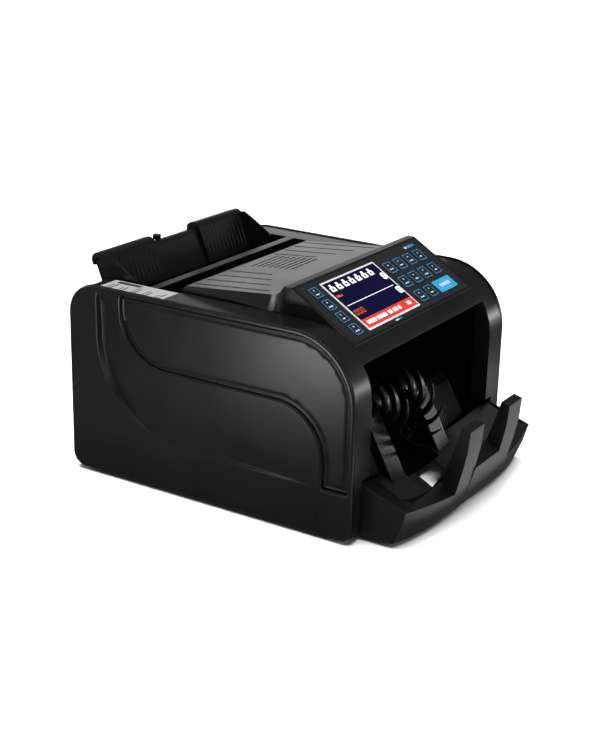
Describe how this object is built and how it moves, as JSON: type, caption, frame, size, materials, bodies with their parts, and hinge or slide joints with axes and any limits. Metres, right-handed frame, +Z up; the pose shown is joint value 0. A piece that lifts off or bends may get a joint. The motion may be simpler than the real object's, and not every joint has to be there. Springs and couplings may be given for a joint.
{
  "type": "banknote counting machine",
  "caption": "Table-top banknote counter with a sloping rear hopper, colour display and keys on a raised console, bladed stacker wheels and a two-pronged catch tray.",
  "frame": {"origin": "centre of the footprint, on the surface that the machine stands on", "axes": "+X to the operator's right as they face the machine, +Y from the front to the rear, +Z up"},
  "size_m": [0.242, 0.31, 0.1742],
  "materials": {
    "satin_black_abs": "satin, fine spark-eroded grain",
    "fine_grain_abs": "fine grain",
    "printed_overlay": "printed velvet film",
    "start_key_print": "printed velvet film",
    "display_glass": "glossy lens over a lit screen",
    "gloss_black_pom": "gloss",
    "roller_rubber": "ground",
    "foot_rubber": "matt",
    "bright_steel": "ground",
    "zinc_sheet": "zinc plated",
    "white_nylon": "moulded",
    "drive_belt": "ribbed",
    "green_board": "solder mask",
    "motor_can": "drawn can"
  },
  "bodies": {
    "machine": {"base_pan": "zinc_sheet", "left_side_cover": "satin_black_abs", "right_side_cover": "satin_black_abs", "left_ribbon_panel": "fine_grain_abs", "right_ribbon_panel": "fine_grain_abs", "main_housing": "satin_black_abs", "rear_panel": "satin_black_abs", "console_housing": "satin_black_abs", "catch_tray": "satin_black_abs", "panel_overlay": "printed_overlay", "display_module": "display_glass", "key_board": "green_board", "hopper_back_plate": "satin_black_abs", "feed_table": "satin_black_abs", "left_frame_plate": "zinc_sheet", "right_frame_plate": "zinc_sheet", "left_chute": "satin_black_abs", "right_chute": "satin_black_abs", "lower_path_plate": "zinc_sheet", "upper_path_plate": "zinc_sheet", "drive_motor": "motor_can", "feed_belt": "drive_belt", "stacker_belt": "drive_belt", "main_board": "green_board", "power_supply": "zinc_sheet", "power_inlet": "gloss_black_pom", "foot_front_left": "foot_rubber", "foot_front_right": "foot_rubber", "foot_rear_left": "foot_rubber", "foot_rear_right": "foot_rubber"},
    "key_left_1_cap": {"key_left_1": "printed_overlay"},
    "key_left_2_cap": {"key_left_2": "printed_overlay"},
    "key_left_3_cap": {"key_left_3": "printed_overlay"},
    "key_left_4_cap": {"key_left_4": "printed_overlay"},
    "key_right_1_1_cap": {"key_right_1_1": "printed_overlay"},
    "key_right_1_2_cap": {"key_right_1_2": "printed_overlay"},
    "key_right_1_3_cap": {"key_right_1_3": "printed_overlay"},
    "key_right_1_4_cap": {"key_right_1_4": "printed_overlay"},
    "key_right_2_1_cap": {"key_right_2_1": "printed_overlay"},
    "key_right_2_2_cap": {"key_right_2_2": "printed_overlay"},
    "key_right_2_3_cap": {"key_right_2_3": "printed_overlay"},
    "key_right_2_4_cap": {"key_right_2_4": "printed_overlay"},
    "key_right_3_1_cap": {"key_right_3_1": "printed_overlay"},
    "key_right_3_2_cap": {"key_right_3_2": "printed_overlay"},
    "key_start_cap": {"key_start": "start_key_print"},
    "left_guide": {"left_note_guide": "satin_black_abs"},
    "right_guide": {"right_note_guide": "satin_black_abs"},
    "gap_knob": {"feed_gap_knob": "gloss_black_pom"},
    "switch_rocker": {"power_switch": "gloss_black_pom"},
    "stacker": {"stacker_shaft": "bright_steel", "left_stacker_wheel": "gloss_black_pom", "right_stacker_wheel": "gloss_black_pom", "stacker_pulley": "white_nylon"},
    "feed_drive": {"feed_shaft": "bright_steel", "left_feed_roller": "roller_rubber", "right_feed_roller": "roller_rubber", "feed_pulley": "white_nylon"},
    "pickup": {"pickup_roller": "roller_rubber"},
    "transport": {"transport_roller": "roller_rubber"},
    "motor_rotor": {"motor_pulley": "white_nylon"}
  },
  "joints": [
    {"name": "key_left_1_press", "type": "slide", "parent": "machine", "child": "key_left_1_cap", "axis": [0, 0.521, -0.8536], "range_m": [0, 0.0005], "stiffness_N_per_m": 900},
    {"name": "key_left_2_press", "type": "slide", "parent": "machine", "child": "key_left_2_cap", "axis": [0, 0.521, -0.8536], "range_m": [0, 0.0005], "stiffness_N_per_m": 900},
    {"name": "key_left_3_press", "type": "slide", "parent": "machine", "child": "key_left_3_cap", "axis": [0, 0.521, -0.8536], "range_m": [0, 0.0005], "stiffness_N_per_m": 900},
    {"name": "key_left_4_press", "type": "slide", "parent": "machine", "child": "key_left_4_cap", "axis": [0, 0.521, -0.8536], "range_m": [0, 0.0005], "stiffness_N_per_m": 900},
    {"name": "key_right_1_1_press", "type": "slide", "parent": "machine", "child": "key_right_1_1_cap", "axis": [0, 0.521, -0.8536], "range_m": [0, 0.0005], "stiffness_N_per_m": 900},
    {"name": "key_right_1_2_press", "type": "slide", "parent": "machine", "child": "key_right_1_2_cap", "axis": [0, 0.521, -0.8536], "range_m": [0, 0.0005], "stiffness_N_per_m": 900},
    {"name": "key_right_1_3_press", "type": "slide", "parent": "machine", "child": "key_right_1_3_cap", "axis": [0, 0.521, -0.8536], "range_m": [0, 0.0005], "stiffness_N_per_m": 900},
    {"name": "key_right_1_4_press", "type": "slide", "parent": "machine", "child": "key_right_1_4_cap", "axis": [0, 0.521, -0.8536], "range_m": [0, 0.0005], "stiffness_N_per_m": 900},
    {"name": "key_right_2_1_press", "type": "slide", "parent": "machine", "child": "key_right_2_1_cap", "axis": [0, 0.521, -0.8536], "range_m": [0, 0.0005], "stiffness_N_per_m": 900},
    {"name": "key_right_2_2_press", "type": "slide", "parent": "machine", "child": "key_right_2_2_cap", "axis": [0, 0.521, -0.8536], "range_m": [0, 0.0005], "stiffness_N_per_m": 900},
    {"name": "key_right_2_3_press", "type": "slide", "parent": "machine", "child": "key_right_2_3_cap", "axis": [0, 0.521, -0.8536], "range_m": [0, 0.0005], "stiffness_N_per_m": 900},
    {"name": "key_right_2_4_press", "type": "slide", "parent": "machine", "child": "key_right_2_4_cap", "axis": [0, 0.521, -0.8536], "range_m": [0, 0.0005], "stiffness_N_per_m": 900},
    {"name": "key_right_3_1_press", "type": "slide", "parent": "machine", "child": "key_right_3_1_cap", "axis": [0, 0.521, -0.8536], "range_m": [0, 0.0005], "stiffness_N_per_m": 900},
    {"name": "key_right_3_2_press", "type": "slide", "parent": "machine", "child": "key_right_3_2_cap", "axis": [0, 0.521, -0.8536], "range_m": [0, 0.0005], "stiffness_N_per_m": 900},
    {"name": "key_start_press", "type": "slide", "parent": "machine", "child": "key_start_cap", "axis": [0, 0.521, -0.8536], "range_m": [0, 0.0005], "stiffness_N_per_m": 900},
    {"name": "left_guide_slide", "type": "slide", "parent": "machine", "child": "left_guide", "axis": [1, 0, 0], "range_m": [0, 0.0075]},
    {"name": "right_guide_slide", "type": "slide", "parent": "machine", "child": "right_guide", "axis": [-1, 0, 0], "range_m": [0, 0.0075]},
    {"name": "gap_knob_turn", "type": "hinge", "parent": "machine", "child": "gap_knob", "pos_m": [-0.0186, 0.1482, 0.1668], "axis": [0, 0, 1], "range_deg": [0, 270]},
    {"name": "power_switch_rock", "type": "hinge", "parent": "machine", "child": "switch_rocker", "pos_m": [-0.04, 0.1472, 0.034], "axis": [-1, 0, 0], "range_deg": [0, 24]},
    {"name": "stacker_turn", "type": "hinge", "parent": "machine", "child": "stacker", "pos_m": [0, -0.0613, 0.0533], "axis": [1, 0, 0], "continuous": true},
    {"name": "feed_turn", "type": "hinge", "parent": "machine", "child": "feed_drive", "pos_m": [0, 0.106, 0.1255], "axis": [1, 0, 0], "continuous": true},
    {"name": "pickup_turn", "type": "hinge", "parent": "machine", "child": "pickup", "pos_m": [0, 0.127, 0.1205], "axis": [1, 0, 0], "continuous": true},
    {"name": "transport_turn", "type": "hinge", "parent": "machine", "child": "transport", "pos_m": [0, 0.0238, 0.09689], "axis": [1, 0, 0], "continuous": true},
    {"name": "motor_turn", "type": "hinge", "parent": "machine", "child": "motor_rotor", "pos_m": [0, 0.06, 0.038], "axis": [1, 0, 0], "continuous": true}
  ],
  "couplings": [
    {"joint": "motor_turn", "follows": "stacker_turn", "ratio": 2.2222},
    {"joint": "feed_turn", "follows": "stacker_turn", "ratio": 1.5385},
    {"joint": "pickup_turn", "follows": "stacker_turn", "ratio": 3.0303}
  ]
}
